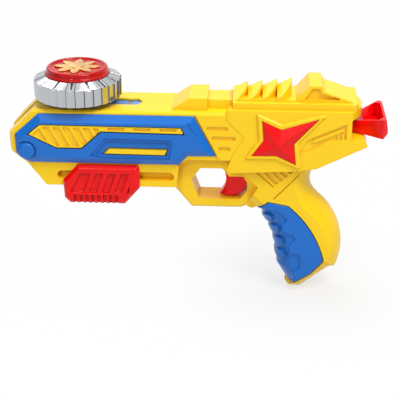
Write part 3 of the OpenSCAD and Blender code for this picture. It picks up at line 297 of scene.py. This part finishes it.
def add_noise(tree, vector, scale, detail=2.0, roughness=0.5):
    """A noise texture on the given vector, in cycles per metre."""
    node = tree.nodes.new("ShaderNodeTexNoise")
    node.inputs["Scale"].default_value = scale
    node.inputs["Detail"].default_value = detail
    node.inputs["Roughness"].default_value = roughness
    tree.links.new(vector, node.inputs["Vector"])
    return node.outputs["Fac"]


FLOAT, COLOUR = "NodeSocketFloat", "NodeSocketColor"
skin_group, given, made = new_group(
    "moulded_skin",
    [("Base", COLOUR, (0.8, 0.8, 0.8, 1.0)), ("Drift", FLOAT, 0.05), ("Gloss Drift", FLOAT, 0.06),
     ("Roughness", FLOAT, 0.35), ("Grain", FLOAT, 0.5), ("Painted Shade", FLOAT, 0.5),
     ("Shade Warmth", FLOAT, 0.0)],
    [("Color", COLOUR), ("Roughness", FLOAT), ("Height", FLOAT)],
)
calc = partial(add_math, skin_group)
coords = skin_group.nodes.new("ShaderNodeTexCoord").outputs["Object"]
flow = skin_group.nodes.new("ShaderNodeMapping")
flow.inputs["Scale"].default_value = FLOW_STRETCH
skin_group.links.new(coords, flow.inputs["Vector"])
drift = add_noise(skin_group, flow.outputs[0], DRIFT_SCALE, 3.0)
grain = add_noise(skin_group, coords, GRAIN_SCALE, 2.0)
sink = add_noise(skin_group, coords, SINK_SCALE, 1.0)
# Painted shade: local ambient occlusion darkens each piece's own recesses in its colour and shifts their
# hue warmer.
nearby = skin_group.nodes.new("ShaderNodeAmbientOcclusion")
nearby.only_local = True
nearby.samples = 8
nearby.inputs["Distance"].default_value = PAINTED_SHADE_REACH
shade_share = calc("SUBTRACT", 1.0, nearby.outputs["AO"])
lit_share = calc("SUBTRACT", 1.0, calc("MULTIPLY", shade_share, given.outputs["Painted Shade"]))
drifted = calc("ADD", 1.0, calc("MULTIPLY", calc("SUBTRACT", drift, 0.5), given.outputs["Drift"]))
shade_hue = calc("SUBTRACT", 0.5, calc("MULTIPLY", shade_share, given.outputs["Shade Warmth"]))
tint = skin_group.nodes.new("ShaderNodeHueSaturation")
skin_group.links.new(given.outputs["Base"], tint.inputs["Color"])
skin_group.links.new(calc("MULTIPLY", drifted, lit_share), tint.inputs["Value"])
skin_group.links.new(shade_hue, tint.inputs["Hue"])
skin_group.links.new(tint.outputs[0], made.inputs["Color"])
gloss = calc("MULTIPLY", calc("SUBTRACT", sink, 0.5), given.outputs["Gloss Drift"])
skin_group.links.new(calc("ADD", given.outputs["Roughness"], gloss), made.inputs["Roughness"])
fine = calc("MULTIPLY", grain, given.outputs["Grain"])
skin_group.links.new(calc("ADD", fine, calc("MULTIPLY", sink, SINK_DEPTH)), made.inputs["Height"])
print("group", skin_group.name, "with", len(skin_group.nodes), "nodes")

# %% [markdown]
# The plated ring is cut into segments. Painted shade darkens the narrow steps between them, and
# every second segment has a painted dark reflection, a tick, on the upper bevel. Both follow from the
# angle about the ring's axis: the angle times the number of segments counts them, and its fraction is
# the place within one.

# %% Segment lines group: painted shade and painted dark reflections
STEP_SHADE_BAND = (0.95, 0.045)              # centre and half width, as shares of one segment
TICK_REFLECTION_BAND = (0.25, 0.07)               # the same, as shares of two segments


def add_band(tree, value, centre, half):
    """1 where value is within `half` of `centre`, else 0."""
    off = add_math(tree, "ABSOLUTE", add_math(tree, "SUBTRACT", value, centre), 0.0)
    return add_math(tree, "LESS_THAN", off, half)


painted_lines_group, given, made = new_group(
    "painted_ring_lines",
    [("Segments", FLOAT, 30.0), ("Axis X", FLOAT, 0.0), ("Bevel Z", FLOAT, 0.0)],
    [("Painted Dark", FLOAT)],
)
calc = partial(add_math, painted_lines_group)
place = painted_lines_group.nodes.new("ShaderNodeSeparateXYZ")
coords = painted_lines_group.nodes.new("ShaderNodeTexCoord").outputs["Object"]
painted_lines_group.links.new(coords, place.inputs[0])
angle = calc("ARCTAN2", place.outputs["Y"], calc("SUBTRACT", place.outputs["X"], given.outputs["Axis X"]))
turns = calc("ADD", calc("DIVIDE", angle, 2 * np.pi), 1.0)
count = calc("MULTIPLY", turns, given.outputs["Segments"])
step_shade = add_band(painted_lines_group, calc("FRACT", count, 0.0), *STEP_SHADE_BAND)
pairs = calc("FRACT", calc("MULTIPLY", count, 0.5), 0.0)
above = calc("GREATER_THAN", place.outputs["Z"], given.outputs["Bevel Z"])
tick_reflection = calc("MULTIPLY", add_band(painted_lines_group, pairs, *TICK_REFLECTION_BAND), above)
painted_lines_group.links.new(calc("MAXIMUM", step_shade, tick_reflection), made.inputs["Painted Dark"])
print("group", painted_lines_group.name, "with", len(painted_lines_group.nodes), "nodes")

# %% [markdown]
# ## The plastics and metals
#
# The toy has five moulded colours, a plated ring, a polished red cap and a gold rosette. One function
# makes a finish from the shared skin and a Principled shader, and numbers that hold all over a
# surface, such as the coat or the subsurface share, stay on the shader itself.

# %% Finishes
GRAIN_HEIGHT = 0.04 * MM
RING_BEVEL_DEPTH = 2.7 * MM            # the ticks stay above this depth under the ring's top


def linear(r, g, b):
    """A colour written as it looks on screen, 0 to 255, turned into scene-linear light."""
    c = np.array([r, g, b]) / 255.0
    c = np.where(c <= 0.04045, c / 12.92, ((c + 0.055) / 1.055) ** 2.4)
    return (*c.tolist(), 1.0)


def finish(name, colour, roughness, drift=0.08, gloss_drift=0.08, grain=0.4, painted_shade=0.5, shade_warmth=0.0,
           edge_mm=0.0, **sockets):
    """A material of the moulded skin group and a Principled shader with the given fixed sockets. Two dials
    paint shade into the recesses: its strength, and how much warmer its hue turns.
    """
    dials = {"Base": colour, "Drift": drift, "Gloss Drift": gloss_drift, "Roughness": roughness,
             "Grain": grain, "Painted Shade": painted_shade, "Shade Warmth": shade_warmth}
    material = bpy.data.materials.new(name)
    material.use_nodes = True
    tree = material.node_tree
    shader = tree.nodes["Principled BSDF"]
    skin = tree.nodes.new("ShaderNodeGroup")
    skin.node_tree = skin_group
    for label, value in dials.items():
        skin.inputs[label].default_value = value
    relief = tree.nodes.new("ShaderNodeBump")
    relief.inputs["Strength"].default_value = 1.0
    relief.inputs["Distance"].default_value = GRAIN_HEIGHT
    tree.links.new(skin.outputs["Color"], shader.inputs["Base Color"])
    tree.links.new(skin.outputs["Roughness"], shader.inputs["Roughness"])
    tree.links.new(skin.outputs["Height"], relief.inputs["Height"])
    tree.links.new(relief.outputs[0], shader.inputs["Normal"])
    if edge_mm:
        soft_edge = tree.nodes.new("ShaderNodeBevel")
        soft_edge.samples = 6
        soft_edge.inputs["Radius"].default_value = edge_mm * MM
        tree.links.new(soft_edge.outputs[0], relief.inputs["Normal"])
    for socket, value in sockets.items():
        shader.inputs[socket.replace("_", " ")].default_value = value
    return material


satin = {"Specular_IOR_Level": 0.3}
soft = {"Subsurface_Weight": 0.08, "Subsurface_Radius": (0.004, 0.003, 0.002), "Subsurface_Scale": 0.5}
finishes = {
    # The yellow's recesses get a light painted shade that turns warmer in hue.
    "yellow": finish("yellow_plastic", linear(255, 210, 22), 0.34, painted_shade=0.14, shade_warmth=0.022,
                     edge_mm=0.5, **satin, **soft),
    "blue": finish("blue_plastic", linear(20, 110, 204), 0.24, edge_mm=0.45, **satin),
    "red": finish("red_plastic", linear(240, 4, 8), 0.2, edge_mm=0.4, Specular_IOR_Level=0.24),
    "light_blue": finish("pale_blue_plastic", linear(104, 144, 216), 0.34, **satin),
    "white": finish("white_plastic", linear(232, 232, 226), 0.45, **satin),
    "dark": finish("dark_plastic", linear(46, 46, 50), 0.42, **satin),
    "red_gloss": finish("polished_red", linear(186, 4, 8), 0.14, grain=0.1, Coat_Weight=0.08,
                        Specular_IOR_Level=0.18),
    "chrome": finish("plated_ring", linear(188, 190, 194), 0.11, gloss_drift=0.06, grain=0.15,
                     Metallic=1.0),
    "steel": finish("plain_steel", linear(168, 170, 175), 0.32, gloss_drift=0.15, Metallic=1.0),
    "gold": finish("gold_plate", linear(214, 168, 104), 0.34, gloss_drift=0.12, Metallic=1.0),
    "cord": finish("braided_cord", linear(238, 234, 220), 0.8),
}
# Painted shade in the steps between the ring's segments and painted dark reflections as ticks on its bevel:
# a dark grey mixed into the plating's colour.
ring_low, ring_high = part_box("top_ring")
ring_tree = finishes["chrome"].node_tree
painted_lines = ring_tree.nodes.new("ShaderNodeGroup")
painted_lines.node_tree = painted_lines_group
painted_lines.inputs["Axis X"].default_value = (ring_low[0] + ring_high[0]) / 2
painted_lines.inputs["Bevel Z"].default_value = ring_high[2] - RING_BEVEL_DEPTH
painted_dark_mix = ring_tree.nodes.new("ShaderNodeMix")
painted_dark_mix.data_type = "RGBA"
skin = next(n for n in ring_tree.nodes if n.type == "GROUP" and n.node_tree == skin_group)
ring_tree.links.new(painted_lines.outputs["Painted Dark"], painted_dark_mix.inputs["Factor"])
ring_tree.links.new(skin.outputs["Color"], painted_dark_mix.inputs["A"])
painted_dark_mix.inputs["B"].default_value = linear(96, 96, 100)
ring_tree.links.new(painted_dark_mix.outputs["Result"], ring_tree.nodes["Principled BSDF"].inputs["Base Color"])
for name, obj in nodes.items():
    obj.data.materials.clear()
    obj.data.materials.append(finishes[slot_of_node[name]])
print("finishes", sorted(finishes))

# %% [markdown]
# ## Moulded edges
#
# A moulded piece has no knife edges: every corner carries a small radius that catches a line of
# light. The CAD solids are left alone. Each piece that shows gets a copy, with its triangles joined
# into whole faces, and a Bevel modifier rounds the edges to the radius that piece has. The shells and
# side panels have cut-outs too close together for that. They have the radius 0 here and keep their
# edges, and the bevel in their plastics turns the light along them. The grip panels are softer to the
# hand: a net of small even faces is laid over them and smoothed, which turns the finger ridges into
# round beads, and faces that the flat parts don't need are then taken out.

# %% Copies with rounded edges
WELD, FLAT_DEG = 0.002 * MM, 0.6       # points this near are one, and faces this flat are joined
EDGE_ROOM = 6                          # shortest edge beside a bevel, in radii
BEVEL_STEPS = 3
GRIP_NET, GRIP_ROUNDS, GRIP_KEPT = 0.3 * MM, 26, 0.2
faceted = {"left_star", "right_star", "top_ring"}
soft_grip = {"left_grip_panel", "right_grip_panel"}
full_radius = faceted | {"foregrip", "trigger", "launch_carriage", "top_cap", "top_rosette", "top_base",
                         "drive_cup"}
edges = {                              # bevel radius in mm, and the angle in degrees that counts as an edge
    "left_shell": (0, 24), "right_shell": (0, 24),
    "left_side_panel": (0, 12), "right_side_panel": (0, 12),
    "left_star": (0.15, 8), "right_star": (0.15, 8),
    "left_grip_panel": (0, 26), "right_grip_panel": (0, 26),
    "launch_carriage": (0.3, 28), "foregrip": (0.45, 24), "pull_handle": (0.8, 24), "trigger": (0.5, 24),
    "top_ring": (0.18, 9), "top_cap": (0.3, 28), "top_rosette": (0.15, 28), "drive_cup": (0.2, 28),
    "top_base": (0.3, 28),
}


def mark_edges(work, radius, sharp_deg, everywhere):
    """Give weight to the sharp edges that a bevel of this radius fits, and keep the others sharp."""
    weight = work.edges.layers.float.new("bevel_weight_edge")
    for edge in work.edges:
        if not edge.is_manifold or edge.calc_face_angle() < np.radians(sharp_deg):
            continue
        around = [other.calc_length() for vert in edge.verts for other in vert.link_edges]
        if everywhere or radius and min(around) > EDGE_ROOM * radius:
            edge[weight] = 1.0
        else:
            edge.smooth = False


def rounded(node, radius_mm, sharp_deg):
    """A copy of a CAD solid, welded and with flat triangles joined, with its edges rounded."""
    work = bmesh.new()
    work.from_mesh(nodes[node].data)
    bmesh.ops.remove_doubles(work, verts=work.verts, dist=WELD)
    bmesh.ops.dissolve_limit(work, angle_limit=np.radians(FLAT_DEG), verts=work.verts, edges=work.edges)
    for face in work.faces:
        face.smooth = node not in faceted
    mark_edges(work, radius_mm * MM, sharp_deg, node in full_radius)
    mesh = bpy.data.meshes.new(node + "_skin")
    work.to_mesh(mesh)
    work.free()
    mesh.materials.append(finishes[slot_of_node[node]])
    obj = bpy.data.objects.new(node + "_skin", mesh)
    scene.collection.objects.link(obj)
    if node in soft_grip:
        even = obj.modifiers.new("even_net", "REMESH")
        even.mode = "VOXEL"
        even.voxel_size = GRIP_NET
        even.use_smooth_shade = True
        melt = obj.modifiers.new("soft_edge", "SMOOTH")
        melt.factor = 0.5
        melt.iterations = GRIP_ROUNDS
        thin = obj.modifiers.new("fewer_faces", "DECIMATE")
        thin.ratio = GRIP_KEPT
    elif radius_mm:
        bevel = obj.modifiers.new("moulded_edge", "BEVEL")
        bevel.width = radius_mm * MM
        bevel.segments = BEVEL_STEPS
        bevel.limit_method = "WEIGHT"
        bevel.use_clamp_overlap = node not in full_radius
        bevel.harden_normals = node not in faceted
    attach(obj, body_of_node[node])
    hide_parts(node)
    return obj


skins = {node: rounded(node, radius, angle) for node, (radius, angle) in edges.items()}
print("rounded", {n: len(o.data.polygons) for n, o in skins.items()})

# %% [markdown]
# ## The cord and the springs
#
# The cord is three strands laid together, so its section is a soft trefoil that turns as it goes
# along. A spring is a round wire on a helix whose first and last turns lie flat. Both are the same
# kind of surface: a ring of points carried along a path, with the ring's shape written as a formula.
# The paths take their places and sizes from the boxes of the CAD solids that they stand for.

# %% Swept surfaces
def swept(name, node, path, ring, up):
    """A closed surface: `ring(t)` gives the offsets across and up at share t of the path."""
    path = np.asarray(path)
    along = np.gradient(path, axis=0)
    along /= np.linalg.norm(along, axis=1, keepdims=True)
    side = np.cross(along, up)
    side /= np.linalg.norm(side, axis=1, keepdims=True)
    rise = np.cross(side, along)
    share = np.linspace(0.0, 1.0, len(path))
    rings = np.stack([ring(t) for t in share])
    points = path[:, None] + rings[..., :1] * side[:, None] + rings[..., 1:] * rise[:, None]
    n, k = points.shape[:2]
    first = (np.arange(n - 1)[:, None] * k + np.arange(k)[None]).ravel()
    nxt = (np.arange(n - 1)[:, None] * k + (np.arange(k)[None] + 1) % k).ravel()
    quads = np.column_stack([first, first + k, nxt + k, nxt]).tolist()
    caps = [list(range(k)), list(range((n - 1) * k, n * k))[::-1]]
    mesh = bpy.data.meshes.new(name)
    mesh.from_pydata(points.reshape(-1, 3).tolist(), [], quads + caps)
    mesh.shade_smooth()
    mesh.materials.append(finishes[slot_of_node[node]])
    obj = bpy.data.objects.new(name, mesh)
    scene.collection.objects.link(obj)
    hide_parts(node)
    return obj


def box_of(node):
    """Lowest corner, highest corner and middle of a node's box, as arrays in metres."""
    low, high = (np.array(corner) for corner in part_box(node))
    return low, high, (low + high) / 2


def round_wire(radius, sides=12):
    """A circle of the given radius, the same all along the path."""
    angle = np.linspace(0.0, 2 * np.pi, sides, endpoint=False)
    circle = radius * np.column_stack([np.cos(angle), np.sin(angle)])
    return lambda t: circle


def laid_strands(radius, turns, sides=18):
    """Three strands laid together: a trefoil of outer size `radius` that turns along the path."""
    angle = np.linspace(0.0, 2 * np.pi, sides, endpoint=False)

    def ring(t):
        lobes = 0.84 + 0.16 * np.abs(np.cos(1.5 * (angle - 2 * np.pi * turns * t)))
        return radius * lobes[:, None] * np.column_stack([np.cos(angle), np.sin(angle)])

    return ring


def coil_path(turns, radius, length, wire, flat=0.8, per_turn=40):
    """A helix along its third axis from 0 to `length`, with `flat` turns lying together at each end."""
    t = np.linspace(0.0, 1.0, int(turns * per_turn) + 1)
    ends = flat * wire * 1.05
    climb = np.interp(t * turns, [0, flat, turns - flat, turns], [0, ends, length - ends, length])
    angle = 2 * np.pi * turns * t
    return np.column_stack([radius * np.cos(angle), radius * np.sin(angle), climb])


# %% Pull cord and its winding on the reel
UP = (0.0, 0.0, 1.0)
RUN_POINTS, WOUND_POINTS = 520, 300
LAY, TURN_PITCH = 5.5, 2.06            # length of one lay and rise of one turn, in radii of the cord
low, high, middle = box_of("pull_cord")
cord_radius = (high[2] - low[2]) / 2
run = np.linspace(low[0], high[0], RUN_POINTS)
cord_path = np.column_stack([run, np.full_like(run, middle[1]), np.full_like(run, middle[2])])
lay_length = LAY * cord_radius
cord = swept("pull_cord_laid", "pull_cord", cord_path,
             laid_strands(cord_radius, (high[0] - low[0]) / lay_length), UP)
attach(cord, body_of_node["pull_cord"])

low, high, middle = box_of("cord_winding")
wound_radius = (high[0] - low[0]) / 2 - cord_radius
wound_height = high[2] - low[2] - 2 * cord_radius
wound_turns = wound_height / (TURN_PITCH * cord_radius)
angle = np.linspace(0.0, 2 * np.pi * wound_turns, WOUND_POINTS)
wound_path = np.column_stack([middle[0] + wound_radius * np.cos(angle),
                              middle[1] + wound_radius * np.sin(angle),
                              low[2] + cord_radius + wound_height * angle / angle[-1]])
lays = 2 * np.pi * wound_radius * wound_turns / lay_length
winding = swept("cord_on_reel", "cord_winding", wound_path, laid_strands(cord_radius, lays), UP)
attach(winding, body_of_node["cord_winding"])
print("cord radius", cord_radius, "turns on the reel", round(float(wound_turns), 2))

# %% Springs
LAUNCH_WIRE, LAUNCH_TURNS = 0.9 * MM, 8.6
TRIGGER_WIRE, TRIGGER_TURNS = 0.6 * MM, 4.0
STRIP_TURNS, STRIP_THICK = 4, 0.5 * MM
STRIP_INNER, STRIP_OUTER = 5.0 * MM, 11.0 * MM


def coil_spring(name, node, axis, wire, turns):
    """A spring with flat ends that fills the box of its CAD node along the given axis."""
    low, high, middle = box_of(node)
    length = high[axis] - low[axis] - wire
    radius = (high[1] - low[1]) / 2 - wire / 2
    turned = coil_path(turns, radius, length, wire)
    path = np.empty_like(turned)
    across = [i for i in range(3) if i != axis]
    path[:, across] = turned[:, :2] + middle[across]
    path[:, axis] = low[axis] + wire / 2 + turned[:, 2]
    obj = swept(name, node, path, round_wire(wire / 2), np.eye(3)[axis])
    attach(obj, body_of_node[node])
    return obj, low, high, middle


push, low, high, middle = coil_spring("launch_coil", "launch_spring", 0, LAUNCH_WIRE, LAUNCH_TURNS)
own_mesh(push)
small, low, high, middle = coil_spring("trigger_coil", "trigger_spring", 2, TRIGGER_WIRE, TRIGGER_TURNS)
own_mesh(small)

low, high, middle = box_of("recoil_spring")
angle = np.linspace(0.0, 2 * np.pi * STRIP_TURNS, 80 * STRIP_TURNS)
reach = STRIP_INNER + (STRIP_OUTER - STRIP_INNER) * angle / angle[-1]
axis_x = box_of("spindle_shaft")[2][0]
strip_path = np.column_stack([axis_x + reach * np.cos(angle), reach * np.sin(angle),
                              np.full_like(angle, middle[2])])
corners = np.array([[1, 0.9], [0.8, 1], [-0.8, 1], [-1, 0.9], [-1, -0.9], [-0.8, -1], [0.8, -1], [1, -0.9]])
strip_ring = corners * np.array([STRIP_THICK, high[2] - low[2]]) / 2
strip = swept("recoil_strip", "recoil_spring", strip_path, lambda t: strip_ring, UP)
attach(strip, body_of_node["recoil_spring"])
print("springs ready")
